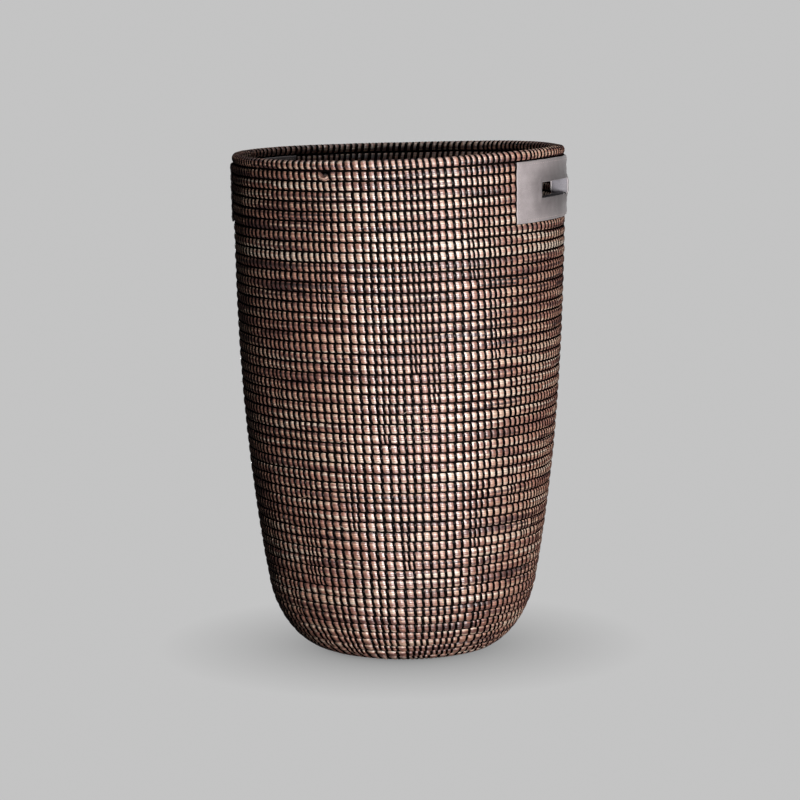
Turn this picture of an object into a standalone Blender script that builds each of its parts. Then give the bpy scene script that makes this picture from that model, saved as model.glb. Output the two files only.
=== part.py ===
# Coiled laundry basket: grass rows sewn with plastic strip, a leather hand slot at each side.
# Metres, +Z up. The origin is the centre of the flat base, and the hand slots face +X and -X.

import math

import bmesh
import bpy

# Driving sizes
BASKET_HEIGHT = 0.600
RIM_RADIUS = 0.198  # outside of the wall at the rim
WALL_TAPER = 0.053  # how far the wall leans in between the rim and the floor
TAPER_POWER = 2.6  # higher keeps the upper wall straighter
CORNER_WIDTH = 0.049  # how far the wall then rounds in to the flat base
CORNER_HEIGHT = 0.082  # height over which it does
WALL_THICKNESS = 0.011
BASE_THICKNESS = 0.011
ROW_PITCH = 0.0118  # height of one sewn grass row
RIM_ROUNDING = 0.28  # share of the wall's thickness taken off the rim's top edges
START_KNOT_RADIUS = 0.012  # the small knot that the base coil starts from

# Rows counted down from the rim, which is row 1
RIM_ROWS = 1
ROWS_OVER_SLOT = 2
SLOT_ROWS = 2
ROWS_UNDER_SLOT = 2
UPPER_WALL_ROWS = 12
MIDDLE_WALL_ROWS = 14

# Leather hand slots
SLOT_LENGTH = 0.084  # clear opening, along the wall
PATCH_LENGTH = 0.172
LEATHER_THICKNESS = 0.0018
LINING_THICKNESS = 0.0024
LIP_WIDTH = 0.0045
LIP_THICKNESS = 0.0016
THREAD_THICKNESS = 0.0009
SEAM_INSET = 0.0045  # from the patch's edge to the thread

GAP = 0.0003  # between pieces that touch
SEGMENTS = 48  # facets round the basket
ROWS_PER_STATION = 3  # rows between the outline's corners on the straight wall
PROFILE_SAMPLES = 800

CUT_DEPTH = LINING_THICKNESS + GAP  # rows and leather stand back this far from the clear slot
FOOT_RADIUS = RIM_RADIUS - WALL_TAPER - CORNER_WIDTH  # edge of the flat that the basket stands on


def clearScene():
    for obj in list(bpy.data.objects):
        bpy.data.objects.remove(obj, do_unlink=True)


def makeMaterial(name, colour, roughness, metallic=0.0):
    material = bpy.data.materials.new(name)
    material.use_nodes = True
    shader = material.node_tree.nodes["Principled BSDF"]
    shader.inputs["Base Color"].default_value = (*colour, 1.0)
    shader.inputs["Roughness"].default_value = roughness
    shader.inputs["Metallic"].default_value = metallic
    return material


# The basket's outline


def wallRadius(height):
    """Outside radius of the wall at a height above the floor."""
    lean = WALL_TAPER * (1 - height / BASKET_HEIGHT) ** TAPER_POWER
    drop = max(0.0, 1 - height / CORNER_HEIGHT)
    corner = CORNER_WIDTH * (1 - math.sqrt(1 - drop * drop))
    return RIM_RADIUS - lean - corner


def makeOutline():
    """Points (radius, height, length from the foot) up the outside, closer together at the foot."""
    points = []
    length = 0.0
    for i in range(PROFILE_SAMPLES + 1):
        height = BASKET_HEIGHT * (i / PROFILE_SAMPLES) ** 3
        radius = wallRadius(height)
        if points:
            length += math.hypot(radius - points[-1][0], height - points[-1][1])
        points.append((radius, height, length))
    return points


OUTLINE = makeOutline()
OUTLINE_LENGTH = OUTLINE[-1][2]
WALL_ROWS = round(OUTLINE_LENGTH / ROW_PITCH)
PITCH = OUTLINE_LENGTH / WALL_ROWS


def outlineAt(length):
    """Radius and height at a length up the outline, and the outward normal there."""
    low, high = 0, len(OUTLINE) - 1
    while high - low > 1:
        middle = (low + high) // 2
        if OUTLINE[middle][2] <= length:
            low = middle
        else:
            high = middle
    r0, z0, s0 = OUTLINE[low]
    r1, z1, s1 = OUTLINE[high]
    share = (length - s0) / (s1 - s0)
    radius, height = r0 + (r1 - r0) * share, z0 + (z1 - z0) * share
    across, up = (r1 - r0) / (s1 - s0), (z1 - z0) / (s1 - s0)
    return radius, height, up, -across


def rowTop(row):
    """Length up the outline of the top of a row, counted down from the rim, the first row being 1."""
    return OUTLINE_LENGTH - (row - 1) * PITCH


def offsetPoint(length, offset):
    """Radius and height of a point that stands off the outside by offset, inwards if negative."""
    radius, height, outX, outZ = outlineAt(length)
    return radius + outX * offset, height + outZ * offset


def ringDirection(angle):
    """Unit direction on the faceted circle, so that pieces which lie on each other stay parallel."""
    step = 2 * math.pi / SEGMENTS
    station = math.floor(angle / step)
    share = angle / step - station
    a, b = station * step, (station + 1) * step
    return (
        math.cos(a) * (1 - share) + math.cos(b) * share,
        math.sin(a) * (1 - share) + math.sin(b) * share,
    )


def ringPoint(angle, radius, height):
    x, y = ringDirection(angle)
    return radius * x, radius * y, height


def stationAngles(start, end):
    """The two angles and every facet corner between them."""
    step = 2 * math.pi / SEGMENTS
    first = math.floor(start / step + 1e-6) + 1
    last = math.ceil(end / step - 1e-6)
    return [start] + [i * step for i in range(first, last)] + [end]


def stationLengths(start, end):
    """Two lengths up the outline and even steps between them, one row long where the corner bends."""
    count = max(1, math.ceil((end - start) / (ROWS_PER_STATION * PITCH)))
    if start < CORNER_HEIGHT:
        count = max(count, math.ceil((end - start) / PITCH))
    return [start + (end - start) * i / count for i in range(count + 1)]


# Mesh helpers


def finishObject(name, points, faces, material):
    mesh = bpy.data.meshes.new(name)
    mesh.from_pydata(points, [], faces)
    build = bmesh.new()
    build.from_mesh(mesh)
    bmesh.ops.recalc_face_normals(build, faces=build.faces)
    build.to_mesh(mesh)
    build.free()
    mesh.shade_smooth()
    mesh.set_sharp_from_angle(angle=math.radians(35))
    obj = bpy.data.objects.new(name, mesh)
    obj.data.materials.append(material)
    bpy.context.scene.collection.objects.link(obj)
    return obj


def sweepSections(name, sections, closed, material):
    """A solid through sections with equal point counts, closed on itself or capped at both ends."""
    size = len(sections[0])
    points = [point for section in sections for point in section]
    faces = []
    for i in range(len(sections) if closed else len(sections) - 1):
        a, b = i * size, (i + 1) % len(sections) * size
        for j in range(size):
            k = (j + 1) % size
            faces.append((a + j, a + k, b + k, b + j))
    if not closed:
        faces.append(tuple(range(size)))
        faces.append(tuple(range(len(points) - size, len(points))))
    return finishObject(name, points, faces, material)


# Grass rows


def coilBand(name, lowLength, highLength, material, startAngle=None, endAngle=None):
    """A band of sewn rows, all the way round or between two angles."""
    lengths = stationLengths(lowLength + GAP / 2, highLength - GAP / 2)
    profile = [offsetPoint(s, 0.0) for s in lengths]
    profile += [offsetPoint(s, -WALL_THICKNESS) for s in reversed(lengths)]
    closed = startAngle is None
    angles = stationAngles(0, 2 * math.pi)[:-1] if closed else stationAngles(startAngle, endAngle)
    sections = [[ringPoint(angle, r, z) for r, z in profile] for angle in angles]
    return sweepSections(name, sections, closed, material)


def rimBand(name, material):
    """The top row: a rounder bundle than the wall's rows."""
    low, high = rowTop(RIM_ROWS + 1) + GAP / 2, OUTLINE_LENGTH
    rounding = WALL_THICKNESS * RIM_ROUNDING
    outline = [
        (low, 0.0),
        (high - rounding, 0.0),
        (high, -rounding),
        (high, rounding - WALL_THICKNESS),
        (high - rounding, -WALL_THICKNESS),
        (low, -WALL_THICKNESS),
    ]
    profile = [offsetPoint(s, offset) for s, offset in outline]
    angles = stationAngles(0, 2 * math.pi)[:-1]
    sections = [[ringPoint(angle, r, z) for r, z in profile] for angle in angles]
    return sweepSections(name, sections, True, material)


def baseDisc(name, innerRadius, outerRadius, material):
    """A flat ring of base rows, or a plain disc when the inner radius is nothing."""
    angles = stationAngles(0, 2 * math.pi)[:-1]
    if innerRadius:
        profile = [
            (outerRadius, 0.0),
            (outerRadius, BASE_THICKNESS),
            (innerRadius, BASE_THICKNESS),
            (innerRadius, 0.0),
        ]
        sections = [[ringPoint(angle, r, z) for r, z in profile] for angle in angles]
        return sweepSections(name, sections, True, material)
    sections = [[ringPoint(angle, outerRadius, z) for angle in angles] for z in (0.0, BASE_THICKNESS)]
    return sweepSections(name, sections, False, material)


def makeCoils(grass):
    slotTop = rowTop(RIM_ROWS + ROWS_OVER_SLOT + 1)
    slotBottom = slotTop - SLOT_ROWS * PITCH
    upperBottom = slotBottom - UPPER_WALL_ROWS * PITCH
    middleBottom = upperBottom - MIDDLE_WALL_ROWS * PITCH
    footTop = math.ceil(CORNER_HEIGHT * 1.2 / PITCH) * PITCH
    baseDisc("base_start_knot", 0.0, START_KNOT_RADIUS, grass)
    baseDisc("base_coil", START_KNOT_RADIUS + GAP, FOOT_RADIUS - GAP / 2, grass)
    coilBand("foot_coil", 0.0, footTop, grass)
    coilBand("lower_wall_coil", footTop, middleBottom, grass)
    coilBand("middle_wall_coil", middleBottom, upperBottom, grass)
    coilBand("upper_wall_coil", upperBottom, slotBottom, grass)
    cut = slotHalfAngle() + CUT_DEPTH / handleRadius()
    coilBand("back_slot_coil", slotBottom, slotTop, grass, cut, math.pi - cut)
    coilBand("front_slot_coil", slotBottom, slotTop, grass, math.pi + cut, 2 * math.pi - cut)
    coilBand("over_slot_coil", slotTop, rowTop(RIM_ROWS + 1), grass)
    rimBand("rim_coil", grass)


# Leather round the hand slots


def slotRows():
    """Bottom and top of the rows left out for the slot, as lengths up the outline."""
    top = rowTop(RIM_ROWS + ROWS_OVER_SLOT + 1)
    return top - SLOT_ROWS * PITCH, top


def handleRadius():
    bottom, top = slotRows()
    return outlineAt((bottom + top) / 2)[0]


def slotHalfAngle():
    return SLOT_LENGTH / 2 / handleRadius()


def clearSlot():
    """Bottom and top of the clear slot, inside its lining."""
    bottom, top = slotRows()
    return bottom + GAP / 2 + CUT_DEPTH, top - GAP / 2 - CUT_DEPTH


def patchEdges():
    """Bottom and top edges of a leather patch, as lengths up the outline."""
    bottom, _ = slotRows()
    return bottom - ROWS_UNDER_SLOT * PITCH, rowTop(RIM_ROWS + 1) - GAP


def leatherPatch(name, centre, innerOffset, outerOffset, material):
    """A curved leather panel with the slot cut in it, between two offsets from the wall."""
    half = PATCH_LENGTH / 2 / handleRadius()
    cut = slotHalfAngle() + CUT_DEPTH / handleRadius()
    low, high = patchEdges()
    cutLow, cutHigh = slotRows()
    cutLow, cutHigh = cutLow + GAP / 2, cutHigh - GAP / 2
    corners = [centre - half, centre - cut, centre + cut, centre + half]
    angles = sorted({angle for a, b in zip(corners, corners[1:]) for angle in stationAngles(a, b)})
    lengths = [low, cutLow, cutHigh, high]
    columns, rows = len(angles) - 1, len(lengths) - 1
    points = [
        ringPoint(angle, *offsetPoint(length, offset))
        for offset in (innerOffset, outerOffset)
        for angle in angles
        for length in lengths
    ]

    def corner(layer, i, j):
        return (layer * len(angles) + i) * len(lengths) + j

    def filled(i, j):
        if not (0 <= i < columns and 0 <= j < rows):
            return False
        inSlot = abs((angles[i] + angles[i + 1]) / 2 - centre) < cut
        return not (inSlot and j == 1)

    faces = []
    for i in range(columns):
        for j in range(rows):
            if not filled(i, j):
                continue
            panel = [(i, j), (i + 1, j), (i + 1, j + 1), (i, j + 1)]
            for layer in (0, 1):
                faces.append([corner(layer, *place) for place in panel])
            sides = {
                (i - 1, j): ((i, j), (i, j + 1)),
                (i + 1, j): ((i + 1, j), (i + 1, j + 1)),
                (i, j - 1): ((i, j), (i + 1, j)),
                (i, j + 1): ((i, j + 1), (i + 1, j + 1)),
            }
            for neighbour, (a, b) in sides.items():
                if not filled(*neighbour):
                    faces.append((corner(0, *a), corner(0, *b), corner(1, *b), corner(1, *a)))
    return finishObject(name, points, faces, material)


def frameAngles(centre, halfAngle, spread):
    """Facet corners across a slot, and an angle near each end so that its corners follow the wall."""
    angles = stationAngles(centre - halfAngle, centre + halfAngle)
    nearEnd = halfAngle - spread / 2 / handleRadius()
    for angle in (centre - nearEnd, centre + nearEnd):
        if min(abs(angle - other) for other in angles) > math.radians(0.05):
            angles.append(angle)
    return sorted(angles)


def slotFrame(name, centre, halfAngle, low, high, section, material):
    """A closed strip round a rectangle on the wall. section lists (spread from the rectangle, offset)."""
    radius = handleRadius()
    angles = frameAngles(centre, halfAngle, max(spread for spread, _ in section))
    path = [(angle, low, -1) for angle in angles] + [(angle, high, 1) for angle in reversed(angles)]
    sections = []
    for angle, length, up in path:
        side = 0
        if angle in (angles[0], angles[-1]):
            side = -1 if angle == angles[0] else 1
        sections.append(
            [
                ringPoint(angle + side * spread / radius, *offsetPoint(length + up * spread, offset))
                for spread, offset in section
            ]
        )
    return sweepSections(name, sections, True, material)


def slotLining(name, centre, material):
    """The leather sleeve through the wall, with a lip turned over the leather on both faces."""
    outer = 2 * GAP + LEATHER_THICKNESS
    inner = -WALL_THICKNESS - 2 * GAP - LEATHER_THICKNESS
    section = [
        (0.0, outer + LIP_THICKNESS),
        (LIP_WIDTH, outer + LIP_THICKNESS),
        (LIP_WIDTH, outer),
        (LINING_THICKNESS, outer),
        (LINING_THICKNESS, inner),
        (LIP_WIDTH, inner),
        (LIP_WIDTH, inner - LIP_THICKNESS),
        (0.0, inner - LIP_THICKNESS),
    ]
    slotFrame(name, centre, slotHalfAngle(), *clearSlot(), section, material)


def seamThread(name, centre, offset, material):
    """The sewing thread that runs round a patch, just inside its edge."""
    half = (PATCH_LENGTH / 2 - SEAM_INSET) / handleRadius()
    low, high = patchEdges()
    section = [
        (0.0, offset),
        (THREAD_THICKNESS, offset),
        (THREAD_THICKNESS, offset + THREAD_THICKNESS),
        (0.0, offset + THREAD_THICKNESS),
    ]
    slotFrame(name, centre, half, low + SEAM_INSET, high - SEAM_INSET, section, material)


def makeHandle(side, centre, leather, lining, thread):
    outside = GAP + LEATHER_THICKNESS
    inside = -WALL_THICKNESS - GAP
    leatherPatch(f"{side}_outer_patch", centre, GAP, outside, leather)
    leatherPatch(f"{side}_inner_patch", centre, inside - LEATHER_THICKNESS, inside, leather)
    slotLining(f"{side}_slot_lining", centre, lining)
    seamThread(f"{side}_outer_thread", centre, outside + GAP, thread)
    seamThread(f"{side}_inner_thread", centre, inside - LEATHER_THICKNESS - GAP - THREAD_THICKNESS, thread)


def main():
    clearScene()
    grass = makeMaterial("sewn_grass", (0.42, 0.24, 0.15), 0.6)
    leather = makeMaterial("grey_leather", (0.33, 0.28, 0.26), 0.55)
    lining = makeMaterial("lining_leather", (0.42, 0.38, 0.37), 0.6)
    thread = makeMaterial("sewing_thread", (0.25, 0.21, 0.19), 0.7)
    makeCoils(grass)
    makeHandle("right", 0.0, leather, lining, thread)
    makeHandle("left", math.pi, leather, lining, thread)


main()
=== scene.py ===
import math

import bpy
import numpy as np
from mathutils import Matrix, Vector


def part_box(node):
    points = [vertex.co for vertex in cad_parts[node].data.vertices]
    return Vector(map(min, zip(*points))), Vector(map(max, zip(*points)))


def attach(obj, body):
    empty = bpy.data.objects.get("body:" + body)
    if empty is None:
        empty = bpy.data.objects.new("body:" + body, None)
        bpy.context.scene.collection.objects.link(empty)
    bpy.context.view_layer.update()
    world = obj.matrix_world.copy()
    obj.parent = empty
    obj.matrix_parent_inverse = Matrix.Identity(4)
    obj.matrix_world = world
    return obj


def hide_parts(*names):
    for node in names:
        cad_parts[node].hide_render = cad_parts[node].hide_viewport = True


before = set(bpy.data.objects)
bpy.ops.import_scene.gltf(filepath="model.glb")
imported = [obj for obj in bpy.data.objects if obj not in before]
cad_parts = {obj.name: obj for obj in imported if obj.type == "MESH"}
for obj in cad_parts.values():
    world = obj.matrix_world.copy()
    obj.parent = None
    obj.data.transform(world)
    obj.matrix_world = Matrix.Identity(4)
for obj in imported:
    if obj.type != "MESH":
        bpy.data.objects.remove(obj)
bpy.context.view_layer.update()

fullTurn = 2 * math.pi

# The basket's outline, in metres. Its overall sizes come from the frame.
basket = {
    "height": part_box("rim_coil")[1].z,
    "rimRadius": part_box("rim_coil")[1].y,
    "footRadius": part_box("base_coil")[1].x,
    "taper": 0.053,  # how far the wall leans out between floor and rim
    "taperPower": 2.6,
    "cornerHeight": 0.082,
    "wall": 0.011,
    "rowPitch": 0.0118,
}

# Small unevenness of a basket made by hand
uneven = {
    "oval": 0.0009,
    "ovalAngle": 0.6,
    "wave": 0.0004,
    "rimTilt": 0.0020,
    "handleRise": 0.0015,  # the rim is pulled up at its handles
    "pull": 0.0047,  # one side of the wall has been pulled up a little
    "pullAngle": math.radians(35),
    "sag": 0.0026,  # but its rim sags over the handle there
    "sagAngle": math.radians(30),
    "sagSpread": 0.42,
    "footLift": 0.0022,  # the edge of the floor does not lie quite flat
    "footLiftAngle": math.radians(205),
    "footLiftSpread": 0.05,
    "footEdge": 0.02,  # along the outline
}


def outlineTable():
    height = basket["height"] * np.linspace(0, 1, 900) ** 3
    lean = basket["taper"] * (1 - height / basket["height"]) ** basket["taperPower"]
    drop = np.clip(1 - height / basket["cornerHeight"], 0, 1)
    cornerWidth = basket["rimRadius"] - basket["taper"] - basket["footRadius"]
    radius = basket["rimRadius"] - lean - cornerWidth * (1 - np.sqrt(1 - drop ** 2))
    length = np.concatenate([[0], np.cumsum(np.hypot(np.diff(radius), np.diff(height)))])
    spare = 0.006  # carries the outline on past the rim, for strip that passes over it
    inward = np.linspace(-basket["footRadius"], 0, 40)[:-1]
    length = np.concatenate([inward, length, [length[-1] + spare]])
    radius = np.concatenate([inward + basket["footRadius"], radius, [radius[-1]]])
    height = np.concatenate([inward * 0, height, [height[-1] + spare]])
    across, up = np.gradient(radius, length), np.gradient(height, length)
    size = np.hypot(across, up)
    return length, radius, height, up / size, -across / size


outline = outlineTable()
rimLength = outline[0][-2]
wallRows = round(rimLength / basket["rowPitch"])
pitch = rimLength / wallRows
allRows = wallRows + int(basket["footRadius"] / pitch)


def radiusAt(length, offset=0):
    return np.interp(length, outline[0], outline[1]) + np.interp(length, outline[0], outline[3]) * offset


def towards(angle, side):
    # 1 on one side of the basket, and 0 opposite
    return (0.5 + 0.5 * np.cos(angle - side)) ** 2


def placePoints(length, offset, angle):
    # offset is measured off the outside of the wall, and is negative inwards
    radius = radiusAt(length, offset)
    height = np.interp(length, outline[0], outline[2]) + np.interp(length, outline[0], outline[4]) * offset
    share = np.clip(length / rimLength, 0, 1) ** 2
    radius = radius + share * uneven["oval"] * np.sin(2 * angle + uneven["ovalAngle"])
    radius = radius + share * uneven["wave"] * np.sin(5 * angle + 9 * share)
    height = height + share ** 2 * uneven["rimTilt"] * np.cos(angle)
    height = height + share ** 2 * uneven["handleRise"] * np.cos(2 * angle)
    height = height + share * uneven["pull"] * towards(angle, uneven["pullAngle"])
    fromSag = (angle - uneven["sagAngle"] + math.pi) % fullTurn - math.pi
    height = height - share ** 6 * uneven["sag"] * np.exp(-(fromSag / uneven["sagSpread"]) ** 2)
    nearFoot = np.exp(-((length - uneven["footEdge"]) / uneven["footLiftSpread"]) ** 2)
    height = height + nearFoot * uneven["footLift"] * towards(angle, uneven["footLiftAngle"])
    return np.stack([radius * np.cos(angle), radius * np.sin(angle), height], axis=-1)


def smoothStep(share):
    return share * share * (3 - 2 * share)


def circleSteps(number):
    # Angles once round, with the first one repeated
    return np.arange(number + 1) / number * fullTurn


def smoothNoise(seed, position, spacing):
    # Random heights from -1 to 1 at even steps, joined smoothly
    heights = np.random.default_rng(seed).uniform(-1, 1, 4096)
    place = np.asarray(position) / spacing
    step = np.floor(place).astype(int)
    share = smoothStep(place - step)
    return heights[step % 4096] * (1 - share) + heights[(step + 1) % 4096] * share


def addObject(name, data):
    obj = bpy.data.objects.new(name, data)
    bpy.context.scene.collection.objects.link(obj)
    return obj


class MeshParts:
    # Gathers many small surfaces into one mesh, with their maps
    def __init__(self):
        self.points, self.faces, self.maps, self.tints = [], [], {}, []
        self.count = 0

    def addPoints(self, points, tint):
        self.points.append(points.reshape(-1, 3))
        self.tints.append(np.broadcast_to(tint, points.shape[:-1]).ravel())
        self.count += points.size // 3
        return self.count - points.size // 3

    def addGrids(self, grids, maps, wrapAlong=False, tint=0.0):
        # grids is number x along x around x 3, and each surface is closed around.
        # maps gives for each name a pair at each corner, with the repeated ones
        number, along, around = grids.shape[:3]
        first = self.addPoints(grids, tint)
        start = first + np.arange(number)[:, None, None] * along * around
        i = np.arange(along if wrapAlong else along - 1)[None, :, None]
        j = np.arange(around)[None, None, :]
        near, far = start + i * around, start + (i + 1) % along * around
        onward = (j + 1) % around
        quads = np.stack(np.broadcast_arrays(near + j, near + onward, far + onward, far + j), axis=-1)
        self.faces.append(quads.reshape(-1, 4))
        for name, pairs in maps.items():
            cells = [pairs[:, :-1, :-1], pairs[:, :-1, 1:], pairs[:, 1:, 1:], pairs[:, 1:, :-1]]
            self.maps.setdefault(name, []).append(np.stack(cells, axis=3).reshape(-1, 2))

    def addCap(self, ring, pairs, reverse, tint):
        # Closes the end of a tube with quads folded about its middle line
        around = len(ring)
        first = self.addPoints(ring, tint)
        j = np.arange(around // 2 - 1)
        quads = np.stack([j, j + 1, around - 2 - j, around - 1 - j], axis=1)
        if reverse:
            quads = quads[:, ::-1]
        self.faces.append(quads + first)
        for name, values in pairs.items():
            self.maps.setdefault(name, []).append(values[quads].reshape(-1, 2))

    def addTube(self, points, maps, tint=0.0):
        # One surface, along x around x 3, with both its ends closed
        tint = np.broadcast_to(tint, points.shape[:-1])
        self.addGrids(points[None], {name: pairs[None] for name, pairs in maps.items()}, tint=tint[None])
        for end in (0, -1):
            pairs = {name: values[end, :-1] for name, values in maps.items()}
            self.addCap(points[end], pairs, end == -1, tint[end])

    def addFaces(self, points, faces, maps, tint):
        # maps gives for each name a pair at each point
        first = self.addPoints(points, tint)
        self.faces.append(faces + first)
        for name, pairs in maps.items():
            self.maps.setdefault(name, []).append(pairs[faces].reshape(-1, 2))

    def make(self, name, material):
        points, faces = np.concatenate(self.points), np.concatenate(self.faces)
        mesh = bpy.data.meshes.new(name)
        mesh.vertices.add(len(points))
        mesh.vertices.foreach_set("co", points.astype(np.float32).ravel())
        mesh.loops.add(faces.size)
        mesh.loops.foreach_set("vertex_index", faces.astype(np.int32).ravel())
        mesh.polygons.add(len(faces))
        mesh.polygons.foreach_set("loop_start", np.arange(0, faces.size, 4, dtype=np.int32))
        mesh.update(calc_edges=True)
        for mapName, pairs in self.maps.items():
            layer = mesh.uv_layers.new(name=mapName)
            layer.data.foreach_set("uv", np.concatenate(pairs).astype(np.float32).ravel())
        tint = mesh.attributes.new("tint", "FLOAT", "POINT")
        tint.data.foreach_set("value", np.concatenate(self.tints).astype(np.float32))
        mesh.validate()
        mesh.shade_smooth()
        mesh.materials.append(material)
        return addObject(name, mesh)


def makeMaps(shape, bakeU, bakeV, placeU, placeV):
    # The map that is baked to, and the map of places on the coil
    pairs = {"OFBake": (bakeU, bakeV), "coilPlace": (placeU, placeV)}
    return {name: np.stack([np.broadcast_to(part, shape) for part in pair], axis=-1)
            for name, pair in pairs.items()}


def finishPiece(piece, nodes):
    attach(piece, "root")
    if nodes:
        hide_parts(*nodes)
    return piece


def setInputs(tree, node, inputs):
    # inputs gives for each socket's name or number a value or another node's socket
    for key, value in inputs.items():
        if isinstance(value, bpy.types.NodeSocket):
            tree.links.new(value, node.inputs[key])
        else:
            node.inputs[key].default_value = value


def addNode(tree, kind, inputs=None, **settings):
    node = tree.nodes.new("ShaderNode" + kind)
    for key, value in settings.items():
        setattr(node, key, value)
    setInputs(tree, node, inputs or {})
    return node


def doMath(tree, operation, first, second=0.0, third=None, clamp=False):
    inputs = {0: first, 1: second}
    if third is not None:
        inputs[2] = third
    return addNode(tree, "Math", inputs, operation=operation, use_clamp=clamp).outputs[0]


def mixColours(tree, blend, share, first, second):
    inputs = {"Factor": share, 6: first, 7: second}
    return addNode(tree, "Mix", inputs, data_type="RGBA", blend_type=blend).outputs[2]


def mapRange(tree, value, fromLow, fromHigh, toLow, toHigh):
    inputs = {0: value, 1: fromLow, 2: fromHigh, 3: toLow, 4: toHigh}
    return addNode(tree, "MapRange", inputs).outputs[0]


def addNoise(tree, place, scale, detail, roughness=0.5):
    inputs = {"Vector": place, "Scale": scale, "Detail": detail, "Roughness": roughness}
    return addNode(tree, "TexNoise", inputs).outputs["Fac"]


def joinPlace(tree, x, y, z=0.0):
    return addNode(tree, "CombineXYZ", {0: x, 1: y, 2: z}).outputs[0]


def addRamp(tree, value, stops):
    ramp = addNode(tree, "ValToRGB", {0: value})
    elements = ramp.color_ramp.elements
    elements[0].position, elements[0].color = stops[0][0], (*stops[0][1], 1)
    elements[1].position, elements[1].color = stops[-1][0], (*stops[-1][1], 1)
    for position, colour in stops[1:-1]:
        elements.new(position).color = (*colour, 1)
    return ramp.outputs[0]


def startGroup(name, inputs, outputs):
    group = bpy.data.node_groups.new(name, "ShaderNodeTree")
    for socketName, kind in inputs:
        group.interface.new_socket(socketName, in_out="INPUT", socket_type=kind)
    for socketName, kind in outputs:
        group.interface.new_socket(socketName, in_out="OUTPUT", socket_type=kind)
    return group, group.nodes.new("NodeGroupInput").outputs, group.nodes.new("NodeGroupOutput")


def startMaterial(name):
    material = bpy.data.materials.new(name)
    material.use_nodes = True
    tree = material.node_tree
    return material, tree, tree.nodes["Principled BSDF"]


grassLook = {
    "stemsRound": 18.0,
    "stemLength": 0.055,  # metres before another stem takes its place
    "lineDepth": 0.0005,
    "lineShade": 0.05,  # how dark it is between two stems
    "stemChance": 0.78,  # how much the colour changes from stem to stem
    "stemDrift": 0.24,  # and along one stem
    "tintDrop": 0.08,
    "shades": (0.30, 0.94),
    "roughness": (0.33, 0.55),
    "refraction": 1.9,
    "colours": [
        (0.00, (0.043, 0.0115, 0.0095)),
        (0.16, (0.145, 0.044, 0.034)),
        (0.32, (0.320, 0.120, 0.087)),
        (0.46, (0.500, 0.211, 0.145)),
        (0.58, (0.580, 0.271, 0.182)),
        (0.70, (0.715, 0.381, 0.264)),
        (0.84, (0.840, 0.530, 0.376)),
        (1.00, (0.950, 0.730, 0.575)),
    ],
}


def makeStemGroup():
    # Place holds metres along the coil and the share of the way round it
    floats = "NodeSocketFloat"
    group, given, result = startGroup(
        "dryStems",
        [("Place", "NodeSocketVector"), ("Tint", floats), ("Stems Round", floats), ("Stem Length", floats)],
        [("Color", "NodeSocketColor"), ("Height", floats), ("Shine", floats)])
    parts = addNode(group, "SeparateXYZ", {0: given["Place"]}).outputs
    along = parts[0]
    sway = addNoise(group, joinPlace(group, doMath(group, "MULTIPLY", along, 9.0), parts[1]), 1.0, 2.0)
    sway = mapRange(group, sway, 0.2, 0.8, -0.8, 0.8)
    place = doMath(group, "MULTIPLY_ADD", parts[1], given["Stems Round"], sway)
    stem = doMath(group, "FLOOR", place)
    across = doMath(group, "MULTIPLY_ADD", doMath(group, "FRACT", place), 2.0, -1.0)
    ridge = doMath(group, "SUBTRACT", 1.0, doMath(group, "MULTIPLY", across, across))
    shift = addNode(group, "TexWhiteNoise", {"W": stem}, noise_dimensions="1D").outputs[0]
    piece = doMath(group, "DIVIDE", along, given["Stem Length"])
    piece = doMath(group, "FLOOR", doMath(group, "MULTIPLY_ADD", shift, 31.0, piece))
    chance = addNode(group, "TexWhiteNoise", {"Vector": joinPlace(group, stem, piece)},
                     noise_dimensions="2D").outputs[0]
    drift = addNoise(group, joinPlace(group, doMath(group, "MULTIPLY", along, 7.0), stem), 1.0, 1.0)
    drift = doMath(group, "MULTIPLY", drift, grassLook["stemDrift"])
    choice = doMath(group, "MULTIPLY_ADD", chance, grassLook["stemChance"], drift)
    tint = doMath(group, "SUBTRACT", given["Tint"], grassLook["tintDrop"])
    choice = doMath(group, "ADD", choice, tint, clamp=True)
    colour = addRamp(group, choice, grassLook["colours"])
    streak = joinPlace(group, doMath(group, "MULTIPLY", along, 70.0), doMath(group, "MULTIPLY", place, 4.0))
    streak = addNoise(group, streak, 1.0, 4.0, 0.65)
    shade = mapRange(group, streak, 0.30, 0.70, *grassLook["shades"])
    line = mapRange(group, ridge, 0.0, 0.5, grassLook["lineShade"], 1.0)
    shade = doMath(group, "MULTIPLY", shade, line)
    colour = mixColours(group, "MULTIPLY", 1.0, colour, joinPlace(group, shade, shade, shade))
    height = doMath(group, "MULTIPLY_ADD", streak, 0.22, doMath(group, "SQRT", ridge))
    shine = mapRange(group, streak, 0.2, 0.8, *grassLook["roughness"])
    setInputs(group, result, {"Color": colour, "Height": height, "Shine": shine})
    return group


def makeGrassMaterial():
    material, tree, shader = startMaterial("driedGrass")
    place = addNode(tree, "UVMap", uv_map="coilPlace").outputs[0]
    tint = addNode(tree, "Attribute", attribute_name="tint").outputs["Fac"]
    stems = addNode(tree, "Group", {
        "Place": place, "Tint": tint,
        "Stems Round": grassLook["stemsRound"], "Stem Length": grassLook["stemLength"],
    }, node_tree=makeStemGroup()).outputs
    bump = addNode(tree, "Bump", {
        "Strength": 0.9, "Distance": grassLook["lineDepth"], "Height": stems["Height"]})
    setInputs(tree, shader, {
        "Base Color": stems["Color"], "Roughness": stems["Shine"], "Normal": bump.outputs[0],
        "Specular IOR Level": 1.0, "IOR": grassLook["refraction"]})
    return material


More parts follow.
